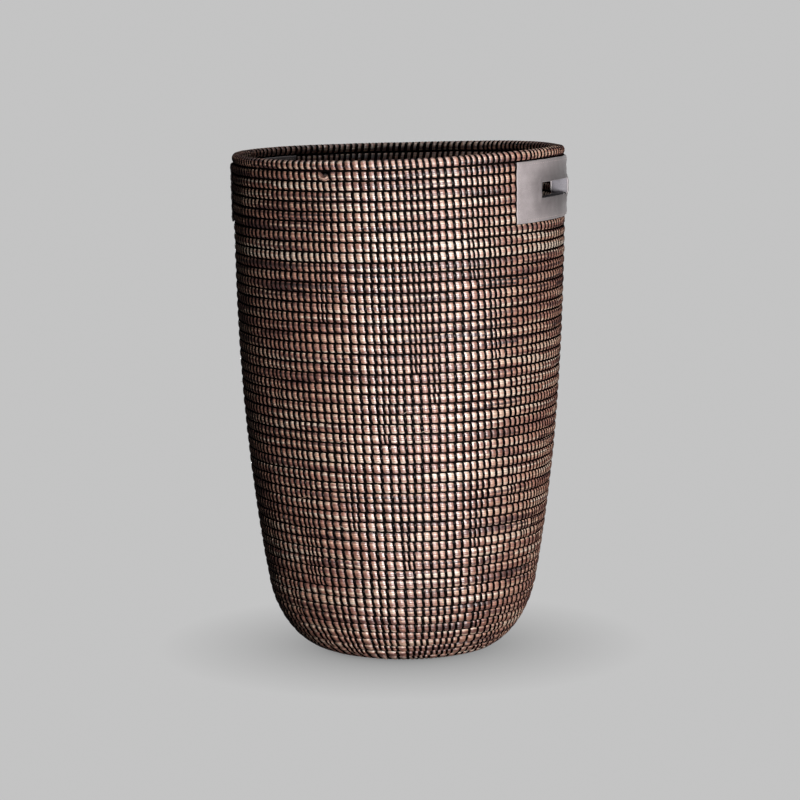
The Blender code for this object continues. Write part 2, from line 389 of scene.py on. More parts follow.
stripLook = {
    "dark": (0.0016, 0.0012, 0.0012, 1),
    "worn": (0.0050, 0.0030, 0.0028, 1),
    # The lowest and the highest roughness, and how much is reflected
    "blackStrip": (0.13, 0.28, 0.09),
    # The groove strip is painted shade: dark, dull and barely reflecting
    "grooveShadeStrip": (0.6, 0.85, 0.03),
}


def makeStripMaterial(name):
    smoothest, roughest, specular = stripLook[name]
    material, tree, shader = startMaterial(name)
    place = addNode(tree, "UVMap", uv_map="coilPlace").outputs[0]
    parts = addNode(tree, "SeparateXYZ", {0: place}).outputs
    along, around = doMath(tree, "MULTIPLY", parts[0], 1500.0), doMath(tree, "MULTIPLY", parts[1], 6.0)
    fibre = addNoise(tree, joinPlace(tree, along, around), 1.0, 3.0, 0.6)
    wear = mapRange(tree, fibre, 0.45, 0.8, 0.0, 1.0)
    colour = mixColours(tree, "MIX", wear, stripLook["dark"], stripLook["worn"])
    bump = addNode(tree, "Bump", {"Strength": 0.5, "Distance": 0.0001, "Height": fibre})
    setInputs(tree, shader, {
        "Base Color": colour, "Roughness": mapRange(tree, fibre, 0.2, 0.8, smoothest, roughest),
        "Normal": bump.outputs[0], "Specular IOR Level": specular})
    return material


leatherLook = {
    # Paler cut edges, with a painted highlight along them
    "cutEdgeAndHighlight": (0.50, 0.46, 0.46, 1),
    "paintedShade": (0.25, 0.24, 0.24, 1),  # multiplies where shade is painted
    # The light and the dark colour of each, and how deep its grain is
    "greyLeather": ((0.315, 0.278, 0.280, 1), (0.195, 0.168, 0.169, 1), 0.0002),
    "liningLeather": ((0.20, 0.187, 0.205, 1), (0.10, 0.093, 0.104, 1), 0.00015),
    "sewingThread": ((0.38, 0.32, 0.30, 1), (0.26, 0.21, 0.20, 1), 0.0001),
}


def makeLeatherGroup():
    # Place is in metres
    colours, floats = "NodeSocketColor", "NodeSocketFloat"
    group, given, result = startGroup(
        "softLeather",
        [("Place", "NodeSocketVector"), ("Light Color", colours), ("Dark Color", colours)],
        [("Color", colours), ("Height", floats), ("Roughness", floats)])
    cloud = addNoise(group, given["Place"], 55.0, 3.0, 0.55)
    speck = addNoise(group, given["Place"], 900.0, 3.0, 0.7)
    grain = addNode(group, "TexVoronoi", {"Vector": given["Place"], "Scale": 1300.0}).outputs[0]
    share = doMath(group, "MULTIPLY_ADD", cloud, 0.6, doMath(group, "MULTIPLY", speck, 0.8))
    share = mapRange(group, share, 0.46, 0.94, 0.0, 1.0)
    setInputs(group, result, {
        "Color": mixColours(group, "MIX", share, given["Dark Color"], given["Light Color"]),
        "Height": doMath(group, "MULTIPLY_ADD", speck, 0.6, grain),
        "Roughness": mapRange(group, speck, 0.2, 0.8, 0.58, 0.82)})
    return group


def makeLeatherMaterial(name, group):
    # The tint of a leather piece is 1 along its cut edges, which are paler and carry a painted highlight, and
    # -1 where shade is painted
    light, dark, depth = leatherLook[name]
    material, tree, shader = startMaterial(name)
    place = addNode(tree, "TexCoord").outputs["Object"]
    inputs = {"Place": place, "Light Color": light, "Dark Color": dark}
    leather = addNode(tree, "Group", inputs, node_tree=group).outputs
    tint = addNode(tree, "Attribute", attribute_name="tint").outputs["Fac"]
    # Paler cut edges with a painted highlight are mixed in, and painted shade is multiplied in
    edge, paintedShade = mapRange(tree, tint, 0.0, 1.0, 0.0, 1.0), mapRange(tree, tint, 0.0, -1.0, 0.0, 1.0)
    colour = mixColours(tree, "MIX", edge, leather["Color"], leatherLook["cutEdgeAndHighlight"])
    colour = mixColours(tree, "MULTIPLY", paintedShade, colour, leatherLook["paintedShade"])
    bump = addNode(tree, "Bump", {"Strength": 0.45, "Distance": depth, "Height": leather["Height"]})
    setInputs(tree, shader, {
        "Base Color": colour, "Roughness": leather["Roughness"], "Normal": bump.outputs[0],
        "Sheen Weight": 0.12})
    return material


leatherGroup = makeLeatherGroup()
grassMaterial = makeGrassMaterial()
stripMaterial = makeStripMaterial("blackStrip")
# Painted shade for the grooves between the rows
grooveShadeMaterial = makeStripMaterial("grooveShadeStrip")
leatherMaterial = makeLeatherMaterial("greyLeather", leatherGroup)
liningMaterial = makeLeatherMaterial("liningLeather", leatherGroup)
threadMaterial = makeLeatherMaterial("sewingThread", leatherGroup)
print("materials made")


# The grass coil: one spiral from the middle of the floor, which tapers off under two closed rings
# at the rim. Rows are numbered down from the rim. Each is level past both handles and climbs to the
# row above it at the back.
coil = {
    "climbFrom": math.radians(35),
    "climbTo": math.radians(145),
    "ringRows": 2,
    "halfThickness": basket["wall"] / 2 - 0.0003,
    "rimSquareness": 2.1,
    "squareness": 2.5,
    "footSquareness": 3.6,  # the rows are pressed flatter towards the foot
    "pointsRound": 16,
    "bulge": 0.00025,  # how far the grass swells out between two stitches
    "pinch": 0.0005,  # and how far each stitch pulls it in
    "swellShares": (0.0, 0.235, 0.33, 0.5, 0.67, 0.765),  # from one stitch to the next
    "swells": (-1.0, -0.9, 0.7, 1.0, 0.7, -0.9),
    "wobble": 0.0003,
    "lean": 0.0010,  # each stitch leans this much either way from the middle of its row
    "endRadius": 0.0045,  # of the hole that the start knot fills
    "tint": 0.13,  # from dark red-brown at 0 to cream at 1
    "tintedRows": [(10.0, 0.55, 0.46), (12.6, 1.3, -0.16)],  # which, how many, and how much paler
    "rimDarker": 0.06,
}

handle = {
    "halfSlot": 0.0446 / 0.198,  # as an angle, out to the ends of the cut rows
    "slotRows": (4, 5),
    "angles": (0.0, math.pi),
}

stitchLook = {
    "topSpacing": 0.0079,
    "footSpacing": 0.0093,
    "baseSpacing": 0.0086,
    "width": 0.0042,
    "points": 14,
    # Its section, as shares of half its width and how far it stands off the grass
    "across": (1.0, 0.62, 0.0, -0.62, -1.0, 0.0),
    "rises": (0.00010, 0.00062, 0.00080, 0.00062, 0.00010, -0.0006),
    "noise": 0.00028,
    "drift": 0.00022,
    "evening": 0.27,  # how far each row evens out the gaps of the row below
    "missingRow": 2,  # one stitch has worn through, and left a hole over the grass
    "missingAngle": math.radians(265.1),
    "holeHalf": 0.0046,
    "holeHeight": 0.0066,
    "holeDepth": 0.0014,
}

# The dark strip in each groove, which is painted shade
grooveShadeLook = {
    "depth": 0.0017,
    "footDepth": 0.0009,  # how much deeper it lies at the foot
    "halfWidth": 0.0013,
    "halfThickness": 0.0006,
    "points": 8,
}


def climbShare(angle):
    share = (angle - fullTurn - coil["climbFrom"]) / (coil["climbTo"] - coil["climbFrom"])
    return smoothStep(np.clip(share, 0, 1))


def windingNoise(seed, row, angle, spacing):
    # Noise that runs on along the spiral, and fades out where a ring closes
    noise = smoothNoise(seed, (allRows - row) * fullTurn + angle, spacing)
    if row > coil["ringRows"]:
        return noise
    toJoint = np.minimum(angle - coil["climbTo"], coil["climbTo"] + fullTurn - angle)
    return noise * np.clip(toJoint / 0.3, 0, 1)


def rowEdge(row, angle):
    # The lower edge of a row, and so the upper edge of the row under it. Angles run one turn from climbTo
    edge = rimLength - (row - climbShare(angle)) * pitch
    edge = np.minimum(edge, rimLength - min(row, coil["ringRows"]) * pitch)
    edge = edge + coil["wobble"] * windingNoise(3, row, angle, 0.22)
    return np.clip(edge, coil["endRadius"] - basket["footRadius"], rimLength)


def lowness(row):
    # 0 for the rows at the rim, 1 for those of the foot and the floor
    return min(1, (row - 1) / (wallRows - 1)) ** 2.5


def rowSection(row, angle, around, swell):
    # Points round the row's section: around is the angle round it, 0 at the top and a quarter turn outside
    top, bottom = rowEdge(row - 1, angle), rowEdge(row, angle)
    halfHeight = (top - bottom) / 2
    halfThickness = coil["halfThickness"] * np.sqrt(np.clip(2 * halfHeight / pitch, 0.02, 1))
    squareness = coil["squareness"] + (coil["footSquareness"] - coil["squareness"]) * lowness(row)
    if row == 1:
        squareness = coil["rimSquareness"]
    upward, outward = np.cos(around), np.sin(around)
    up = np.sign(upward) * np.abs(upward) ** (2 / squareness)
    out = np.sign(outward) * np.abs(outward) ** (2 / squareness)
    sway = coil["wobble"] * 0.6 * windingNoise(5, row, angle, 0.3)
    length = (top + bottom) / 2 + (halfHeight + swell) * up
    offset = -basket["wall"] / 2 + sway + (halfThickness + swell) * out
    return length, offset, up


def rowRadius(row):
    return radiusAt(rimLength - (row - 0.5) * pitch, -basket["wall"] / 2)


def stitchCount(row):
    share = (row - 1) / (wallRows - 1)
    wider = min(share, 1) ** 0.7 * (stitchLook["footSpacing"] - stitchLook["topSpacing"])
    spacing = stitchLook["topSpacing"] + wider
    if row > wallRows:
        spacing = stitchLook["baseSpacing"]
    return max(8, round(fullTurn * rowRadius(row) / spacing))


def stitchAngles():
    # Stitches stand over those of the row below. A new one is put in wherever the gaps grow too wide
    chance = np.random.default_rng(7)
    angles = np.arange(stitchCount(allRows)) / stitchCount(allRows) * fullTurn
    allAngles = {}
    for row in range(allRows, 0, -1):
        radius = rowRadius(row)
        angles = angles + (chance.normal(0, stitchLook["noise"], len(angles)) - stitchLook["drift"]) / radius
        gaps = (np.roll(angles, -1) - angles) % fullTurn
        evened = angles + stitchLook["evening"] * (gaps - np.roll(gaps, 1)) / 2
        angles = np.sort(evened % fullTurn)
        while len(angles) < stitchCount(row):
            gaps = (np.roll(angles, -1) - angles) % fullTurn
            widest = int(np.argmax(gaps * chance.uniform(0.86, 1.0, len(gaps))))
            angles = np.sort(np.append(angles, (angles[widest] + gaps[widest] / 2) % fullTurn))
        shown = angles
        if row == stitchLook["missingRow"]:
            worn = np.argmin(np.abs(angles - stitchLook["missingAngle"]))
            holeAngle = angles[worn]
            shown = np.delete(angles, worn)
        # Carried round so that each row starts at the back
        allAngles[row] = np.sort((shown - coil["climbTo"]) % fullTurn + coil["climbTo"])
    return allAngles, holeAngle


rowStitches, holeAngle = stitchAngles()
rowLengths = [fullTurn * rowRadius(row) for row in range(allRows, 0, -1)]
woundLengths = np.concatenate([[0], np.cumsum(rowLengths)])


def rowStretches(row):
    # A row is whole, or stops short of both slots
    start, end = coil["climbTo"], coil["climbTo"] + fullTurn
    if row not in handle["slotRows"]:
        return [(start, end)]
    half = handle["halfSlot"]
    return [(start, math.pi - half), (math.pi + half, fullTurn - half), (fullTurn + half, end)]


def rowTint(row, wound):
    # How pale the grass is along the coil
    tint = coil["tint"] + 0.13 * smoothNoise(21, wound, 0.5) + 0.10 * smoothNoise(22, wound, 2.6)
    for middle, spread, change in coil["tintedRows"]:
        tint = tint + change * math.exp(-((row - middle) / spread) ** 2)
    return tint - (coil["rimDarker"] if row == 1 else 0)


def bandPlace(band, around):
    # Each row of a piece has its own band of the map that is baked to. band is its number and how many
    return (band[0] + 0.02 + 0.96 * around / fullTurn) / band[1]


def addGrassRow(parts, row, band):
    stitches = rowStitches[row]
    before = np.concatenate([[stitches[-1] - fullTurn], stitches, [stitches[0] + fullTurn]])
    shares, swells = np.array(coil["swellShares"]), coil["swells"]
    steps = np.diff(before)
    samples = (before[:-1, None] + steps[:, None] * shares[None, :]).ravel()
    wide = np.clip(steps * rowRadius(row) / stitchLook["topSpacing"], 0.4, 1.5)
    swell = np.tile(swells, len(steps)).reshape(-1, len(shares))
    swell = np.where(swell < 0, swell * coil["pinch"], swell * coil["bulge"] * wide[:, None]).ravel()
    around = circleSteps(coil["pointsRound"])
    for start, end in rowStretches(row):
        inside = samples[(samples > start + 1e-4) & (samples < end - 1e-4)]
        angle = np.concatenate([[start], inside, [end]])[:, None]
        swelling = np.interp(angle, samples, swell)
        length, offset, up = rowSection(row, angle, around[None, :-1], swelling)
        dent = np.zeros_like(angle)
        if row == stitchLook["missingRow"]:
            dent = np.exp(-((angle - holeAngle) * rowRadius(row) / stitchLook["holeHalf"]) ** 4)
            length = length - dent * stitchLook["holeHeight"] * (0.5 + 0.5 * up)
            offset = offset - dent * stitchLook["holeDepth"] * np.clip(up * 2, 0, 1)
        leaning = np.clip((angle - start) / 0.05, 0, 1) * np.clip((end - angle) / 0.05, 0, 1)
        turned = angle - leaning * up * coil["lean"] / np.maximum(radiusAt(length, offset), 0.004)
        points = placePoints(length, offset, turned)
        # The grass in the dent is tinted darker: painted shade in the hole
        tint = rowTint(row, (allRows - row) * fullTurn + angle) - 0.1 * dent
        fromStart = angle - coil["climbTo"]
        maps = makeMaps(
            (len(angle), len(around)), fromStart / fullTurn, bandPlace(band, around),
            woundLengths[allRows - row] + fromStart * rowRadius(row), around / fullTurn)
        parts.addTube(points, maps, tint)


def addStitches(parts, row, band):
    chance = np.random.default_rng(1000 + row)
    stitches = rowStitches[row]
    if row in handle["slotRows"]:
        # Whole stitches only, beside the slots
        margin = stitchLook["width"] * 0.7 / rowRadius(row)
        kept = [(stitches > start + margin) & (stitches < end - margin) for start, end in rowStretches(row)]
        stitches = stitches[np.any(kept, axis=0)]
    number = len(stitches)
    around = circleSteps(stitchLook["points"])[None, :, None]
    across, rise = (np.array(stitchLook[key])[None, None, :] for key in ("across", "rises"))
    angle = stitches[:, None, None]
    swell = rise - coil["pinch"] + chance.uniform(-0.00008, 0.00012, (number, 1, 1))
    length, offset, up = rowSection(row, angle, around[:, :-1], swell)
    width = stitchLook["width"] * chance.uniform(0.86, 1.14, (number, 1, 1))
    narrow = 1 - 0.16 * np.abs(up)
    reach = np.maximum(radiusAt(length, offset), 0.004)
    turned = angle + (across * width / 2 * narrow - up * coil["lean"]) / reach
    points = placePoints(length, offset, turned)
    corners = np.append(across.ravel(), 1.0)[None, None, :]
    bakeU = np.clip((angle - coil["climbTo"]) / fullTurn + corners * 0.00105, 0, 1)
    maps = makeMaps(
        (number, stitchLook["points"] + 1, 7), bakeU, bandPlace(band, around),
        corners * 0.0014 + (angle + row * 17.0), around / fullTurn)
    parts.addGrids(points, maps, wrapAlong=True)


def addGrooveShade(parts, row, outside, band):
    # A dark strip that lies in the groove under a row: painted shade in the groove
    stitches = rowStitches[row]
    before = np.append(stitches, stitches[0] + fullTurn)
    steps = np.diff(before)
    samples = (before[:-1, None] + steps[:, None] * np.array([0.0, 0.33, 0.67])).ravel()
    samples = np.sort((samples - coil["climbTo"]) % fullTurn + coil["climbTo"])
    proud = np.tile([0.0002, -0.0001, -0.0001], len(steps))
    around = circleSteps(grooveShadeLook["points"])[None, :]
    depth = grooveShadeLook["depth"] + grooveShadeLook["footDepth"] * lowness(row)
    depth = depth if outside else basket["wall"] - depth
    for start, end in rowStretches(row):
        inside = samples[(samples > start + 1e-4) & (samples < end - 1e-4)]
        angle = np.concatenate([[start], inside, [end]])[:, None]
        rise = np.interp(angle, samples, proud) * (1 if outside else -1)
        length = rowEdge(row, angle) + grooveShadeLook["halfWidth"] * np.cos(around[:, :-1])
        offset = -depth + rise + grooveShadeLook["halfThickness"] * np.sin(around[:, :-1])
        maps = makeMaps(
            (len(angle), grooveShadeLook["points"] + 1), (angle - coil["climbTo"]) / fullTurn,
            bandPlace(band, around), around * 0.0003, angle * 20)
        parts.addTube(placePoints(length, offset, angle), maps)


# The rows of each coil of the frame, from the rim down
coilRows = [
    ("rim", 1, ["rim_coil"]),
    ("over_slot", 3, ["over_slot_coil"]),
    ("slot_rows", 5, ["front_slot_coil", "back_slot_coil"]),
    ("upper_wall", 19, ["upper_wall_coil"]),
    ("middle_wall", 33, ["middle_wall_coil"]),
    ("lower_wall", 46, ["lower_wall_coil"]),
    ("foot", wallRows, ["foot_coil"]),
    ("base", allRows, ["base_coil"]),
]
# The runs are the groove strips of painted shade
mostRows = {"grass": 5, "runs": 21}  # that one piece holds


def makeCoil():
    first = 1
    for name, last, nodes in coilRows:
        for start in range(first, last + 1, mostRows["grass"]):
            rows = list(range(start, min(start + mostRows["grass"], last + 1)))
            grass, strips = MeshParts(), MeshParts()
            for index, row in enumerate(rows):
                addGrassRow(grass, row, (index, len(rows)))
                addStitches(strips, row, (index, len(rows)))
            ending = f"_{rows[0]}" if last - first >= mostRows["grass"] else ""
            finishPiece(grass.make(name + "_grass" + ending, grassMaterial), nodes)
            finishPiece(strips.make(name + "_stitches" + ending, stripMaterial), nodes)
        print(name, "wound and sewn down to row", last)
        first = last + 1
    # Dark strips in the grooves, outside and inside, as painted shade
    for first in range(1, allRows, mostRows["runs"]):
        rows = list(range(first, min(first + mostRows["runs"], allRows)))
        for outside in (True, False):
            runs = MeshParts()
            for index, row in enumerate(rows):
                addGrooveShade(runs, row, outside, (index, len(rows)))
            name = f"sewing_run_{'outside' if outside else 'inside'}_{first}"
            finishPiece(runs.make(name, grooveShadeMaterial), [])
    print(allRows, "rows and", sum(len(stitches) for stitches in rowStitches.values()), "stitches")


startKnot = {
    "overlap": 0.0012,  # past the hole that it fills
    "halfHeight": 0.0051,
}


def makeStartKnot():
    # The small knot in the middle of the floor that the coil starts from
    parts = MeshParts()
    profile = np.linspace(0, math.pi, 13)[:, None]
    around = circleSteps(24)[None, :]
    rounding = 1 + 0.05 * np.sin(5 * around) * np.sin(profile)
    radius = (coil["endRadius"] + startKnot["overlap"]) * np.sin(profile) ** 0.7 * rounding + 0.00002
    height = basket["wall"] / 2 + startKnot["halfHeight"] * np.cos(profile) * (1 + 0.03 * np.sin(3 * around))
    points = np.stack([radius * np.cos(around), radius * np.sin(around), height + 0 * around], axis=-1)
    turnShare, downShare = around / fullTurn, profile / math.pi
    maps = makeMaps(points.shape[:2], turnShare, downShare, turnShare * 0.02, downShare * 0.02)
    parts.addGrids(points[None, ::-1, :-1], {key: value[None, ::-1] for key, value in maps.items()})
    finishPiece(parts.make("start_knot", stripMaterial), ["base_start_knot"])


strayEnds = {
    "number": 48,
    "sizes": (0.003, 0.008),
    "thickness": 0.0006,
    "lifts": (0.15, 0.5),
    "slopes": (-0.6, 0.4),
    "tint": 0.55,
}


def makeStrayEnds():
    # Ends of grass that have worked loose between the stitches
    chance = np.random.default_rng(31)
    parts = MeshParts()
    steps = np.linspace(0, 1, 6)[:, None]
    around = circleSteps(6)[None, :]
    for number in range(strayEnds["number"]):
        row = int(chance.integers(handle["slotRows"][1] + 3, wallRows - 2))
        stitches = rowStitches[row]
        index = int(chance.integers(1, len(stitches) - 1))
        start = stitches[index] + 0.4 * (stitches[index + 1] - stitches[index])
        way = chance.choice([-1, 1])
        reach = steps * chance.uniform(*strayEnds["sizes"])
        thin = strayEnds["thickness"] / 2 * (1 - 0.6 * steps)
        lift, slope = chance.uniform(*strayEnds["lifts"]), chance.uniform(*strayEnds["slopes"])
        length = rowEdge(row, start) + 0.35 * pitch + slope * reach + thin * np.cos(around[:, :-1])
        offset = -0.0009 + lift * reach + thin * np.sin(around[:, :-1])
        points = placePoints(length, offset, start + way * reach / rowRadius(row))
        place = (number + 0.1 + 0.8 * steps) / strayEnds["number"]
        maps = makeMaps((6, 7), place, around / fullTurn, start + reach, around * 0.01)
        if way < 0:
            points, maps = points[::-1], {key: value[::-1] for key, value in maps.items()}
        parts.addTube(points, maps, strayEnds["tint"])
    finishPiece(parts.make("stray_ends", grassMaterial), [])


makeCoil()
makeStartKnot()
makeStrayEnds()


# The leather: each handle has a patch outside and one inside, a lining through the slot, and thread.
# Places on it are metres along the wall from the handle's middle, and along the basket's outline.
leather = {
    "halfLength": 0.086,
    "width": 0.070,
    "thickness": 0.0015,
    "lift": 0.0004,  # its back stands this far off the rows, on the crests of the stitches
    "slotHalf": 0.042,
    "slotMargin": 0.0027,  # from the rows over and under the slot
    "lipWidth": 0.0045,
    "lipRise": 0.0012,
    "edgeDrop": 0.0007,
    "rowPrint": 0.00028,  # how much the rows show through
    "edgeWave": 0.0007,
    "upEdgeWave": 0.0004,
    "puff": 0.0024,  # the slot's far end stands out
    "step": 0.0016,
    # Painted shade, darkest at the slot's edge and across the middle of the patch
    "paintedShade": 0.6,  # at the slot's edge, where 1 is the darkest
    "paintedShadeReach": 0.017,
    "paintedMiddleShade": 0.25,
    "middleReach": 0.032,
}
patchTop = rimLength - pitch - 0.0004
patchBottom = patchTop - leather["width"]
slotTop = rimLength - (handle["slotRows"][0] - 1) * pitch - leather["slotMargin"]
slotBottom = rimLength - handle["slotRows"][1] * pitch + leather["slotMargin"]
slotHalf = leather["slotHalf"]


def handlePoints(handleAngle, along, length, offset):
    return placePoints(length, offset, handleAngle + along / basket["rimRadius"])


def slotDistance(along, length):
    # Distance from the slot, 0 on its edge
    acrossGap = np.abs(along) - slotHalf
    upGap = np.maximum(length - slotTop, slotBottom - length)
    return np.hypot(np.clip(acrossGap, 0, None), np.clip(upGap, 0, None))


def leatherRise(along, length, seed):
    # How far the leather is lifted off the rows by the lining under it and by the way it was sewn
    lip = np.clip((leather["lipWidth"] + 0.0016 - slotDistance(along, length)) / 0.0020, 0, 1)
    rise = leather["lipRise"] * lip * lip * (3 - 2 * lip)
    rise = rise + leather["rowPrint"] * np.cos(fullTurn * (rimLength - length - pitch / 2) / pitch)
    middle = (slotTop + slotBottom) / 2
    far = (along - slotHalf * 0.96) / 0.016
    rise = rise + leather["puff"] * np.exp(-far ** 2 - ((length - middle) / 0.013) ** 2)
    return rise + 0.00022 * smoothNoise(seed, along * 1.7 + length * 0.6, 0.011)


def gridLines(low, high, edges):
    # Even lines with finer ones beside each edge, where the leather turns over
    lines = np.linspace(low, high, round((high - low) / leather["step"]) + 1)
    fine = np.array([-0.0011, -0.0004, 0.0, 0.0004, 0.0011])
    special = np.unique(np.round(np.concatenate([edge + fine for edge in edges]), 7))
    special = special[(special >= low - 1e-7) & (special <= high + 1e-7)]
    clear = [line for line in lines if np.min(np.abs(special - line)) > 0.0007]
    return np.sort(np.concatenate([special, clear]))


def makePatch(name, handleAngle, outside, seed, node):
    half = leather["halfLength"]
    along = gridLines(-half, half, [-half, -slotHalf, slotHalf, half])
    length = gridLines(patchBottom, patchTop, [patchBottom, slotBottom, slotTop, patchTop])
    alongGrid, lengthGrid = np.meshgrid(along, length, indexing="ij")
    sideGap = half - np.abs(alongGrid)
    upGap = np.minimum(patchTop - lengthGrid, lengthGrid - patchBottom)
    edgeGap = np.minimum(np.minimum(sideGap, upGap), slotDistance(alongGrid, lengthGrid))
    rise = leatherRise(alongGrid, lengthGrid, seed)
    drop = leather["edgeDrop"] * np.exp(-(edgeGap / 0.00045) ** 2)
    wave = leather["edgeWave"] * smoothNoise(seed + 1, lengthGrid + alongGrid * 0.2, 0.0085)
    shifted = alongGrid + wave * np.clip(1 - sideGap / 0.012, 0, 1) * np.sign(alongGrid)
    upWave = leather["upEdgeWave"] * smoothNoise(seed + 2, alongGrid, 0.019)
    shiftedUp = lengthGrid + upWave * np.clip(1 - upGap / 0.01, 0, 1)
    back = leather["lift"] + rise
    front = back + leather["thickness"] - drop
    if not outside:
        front, back = -basket["wall"] - front, -basket["wall"] - back
    topPoints = handlePoints(handleAngle, shifted, shiftedUp, front).reshape(-1, 3)
    backPoints = handlePoints(handleAngle, shifted, shiftedUp, back).reshape(-1, 3)
    # Every cell but those over the slot
    middleAlong, middleLength = (along[:-1] + along[1:]) / 2, (length[:-1] + length[1:]) / 2
    inSlot = (np.abs(middleAlong)[:, None] < slotHalf) & (
        (middleLength > slotBottom) & (middleLength < slotTop))[None, :]
    total = alongGrid.size
    index = np.arange(total).reshape(alongGrid.shape)
    cells = np.stack([index[:-1, :-1], index[1:, :-1], index[1:, 1:], index[:-1, 1:]], axis=-1)[~inSlot]
    # A cut side stands under each edge that only one cell has
    edges = np.stack([cells, np.roll(cells, -1, axis=1)], axis=-1).reshape(-1, 2)
    walls = edges[~np.isin(edges @ [total, 1], edges @ [1, total])]
    wallFaces = np.stack([walls[:, 1], walls[:, 0], walls[:, 0] + total, walls[:, 1] + total], axis=1)
    points = np.concatenate([topPoints, backPoints])
    faces = np.concatenate([cells, cells[:, ::-1] + total, wallFaces])
    if not outside:
        faces = faces[:, ::-1]
    upShare = (lengthGrid - patchBottom) / leather["width"] * 0.48
    share = np.stack([alongGrid / half * 0.48 + 0.5, upShare], axis=-1).reshape(-1, 2)
    bakeMap = np.concatenate([share + [0, 0.51], share + [0, 0.005]])
    # A pale line along each cut edge: the paler cut edge with a painted highlight on it
    edgeAndHighlightTint = np.clip(1 - edgeGap / 0.00035, 0, 1) * 0.55
    # Painted shade round the slot and across the middle, and all over the inside
    paintedShade = 0.05 + leather["paintedShade"] * np.exp(-(slotDistance(alongGrid, lengthGrid) / leather["paintedShadeReach"]) ** 2)
    paintedShade = paintedShade + leather["paintedMiddleShade"] * np.exp(-(alongGrid / leather["middleReach"]) ** 2)
    paintedShade = np.clip(paintedShade, 0 if outside else 0.85, 0.9)
    tint = np.where(edgeAndHighlightTint > 0, edgeAndHighlightTint, -paintedShade).ravel()
    parts = MeshParts()
    used = np.unique(faces)
    lookup = np.zeros(len(points), int)
    lookup[used] = np.arange(len(used))
    tint = np.concatenate([tint, tint])[used]
    parts.addFaces(points[used], lookup[faces], {"OFBake": bakeMap[used]}, tint)
    piece = finishPiece(parts.make(name, leatherMaterial), [node])


def slotOutline(pointsInCorner=5, cornerRadius=0.0012, spacing=0.003):
    # Points round the slot's edge, each with the direction that leads away from the slot
    middle, halfUp = (slotTop + slotBottom) / 2, (slotTop - slotBottom) / 2
    centres = [(x * (slotHalf - cornerRadius), middle + y * (halfUp - cornerRadius))
               for x, y in ((1, 1), (-1, 1), (-1, -1), (1, -1))]
    points = []
    for corner, centre in enumerate(centres):
        for step in range(pointsInCorner):
            angle = math.radians(90 * corner + 90 * step / (pointsInCorner - 1))
            away = (math.cos(angle), math.sin(angle))
            points.append([centre[k] + cornerRadius * away[k] for k in (0, 1)] + list(away))
        end, away = centres[(corner + 1) % 4], [round(part) for part in away]
        steps = max(2, round(math.dist(centre, end) / spacing))
        for share in [step / steps for step in range(1, steps)]:
            place = [centre[k] + (end[k] - centre[k]) * share + cornerRadius * away[k] for k in (0, 1)]
            points.append(place + away)
    return np.array(points)


lining = {
    # In millimetres, away from the slot's edge and off the outside of the wall
    "section": [
        (1.7, 0.3), (1.4, 0.0), (1.4, -5.5), (1.4, -11.0), (1.7, -11.3), (4.4, -11.4), (4.4, -12.5),
        (2.4, -12.7), (0.7, -12.7), (0.1, -12.5), (-0.2, -11.9), (-0.5, -9.5), (-0.8, -5.5), (-0.5, -1.5),
        (-0.2, 0.8), (0.1, 1.5), (0.7, 1.7), (2.4, 1.7), (4.4, 1.5), (4.4, 0.4)],
    "endBulge": 0.0009,
    "bulge": 0.0003,
    # Painted shade along the lining's lower side
    "paintedShade": 0.8,
    "shadeTop": 0.0035,  # over the slot's lower edge
    "shadeFade": 0.003,
}


def makeLining(name, handleAngle, seed, node):
    edge = slotOutline()
    section = np.array(lining["section"]) / 1000
    away, offset = section[:, 0][None, :], section[:, 1][None, :]
    # The lining is loose and bulges a little into the slot, most at its ends
    endShare = np.clip(np.abs(edge[:, 0:1]) / slotHalf, 0, 1) ** 8
    bulge = lining["endBulge"] * endShare + lining["bulge"] * smoothNoise(seed, edge[:, 0:1], 0.012)
    bulge = np.clip(-away / 0.0008, 0, 1) * bulge
    along = edge[:, 0:1] + edge[:, 2:3] * (away - bulge)
    length = edge[:, 1:2] + edge[:, 3:4] * (away - bulge)
    rise = leatherRise(along, length, seed + 5) - leather["lipRise"]
    outward = np.clip((offset + 0.0115) / 0.0115, 0, 1)
    points = handlePoints(handleAngle, along, length, offset + rise * outward - rise * (1 - outward))
    points = np.concatenate([points, points[:1]])[None]
    number, around = points.shape[1], points.shape[2]
    bake = np.broadcast_arrays((np.arange(number) / (number - 1))[:, None], np.arange(around + 1) / around)
    maps = {"OFBake": np.stack(bake, axis=-1)[None]}
    parts = MeshParts()
    # Painted shade along its lower side
    paintedShade = lining["paintedShade"] * np.clip((slotBottom + lining["shadeTop"] - length) / lining["shadeFade"], 0, 1)
    parts.addGrids(points[:, :-1], maps, wrapAlong=True, tint=-paintedShade[None])
    finishPiece(parts.make(name, liningMaterial), [node])


seam = {
    "inset": 0.0035,
    "spacing": 0.0046,
    "stitch": 0.0032,
    "thickness": 0.00055,
    "bend": 0.00022,  # its ends go down into the leather
    "proud": 0.00004,
    "points": 8,
}


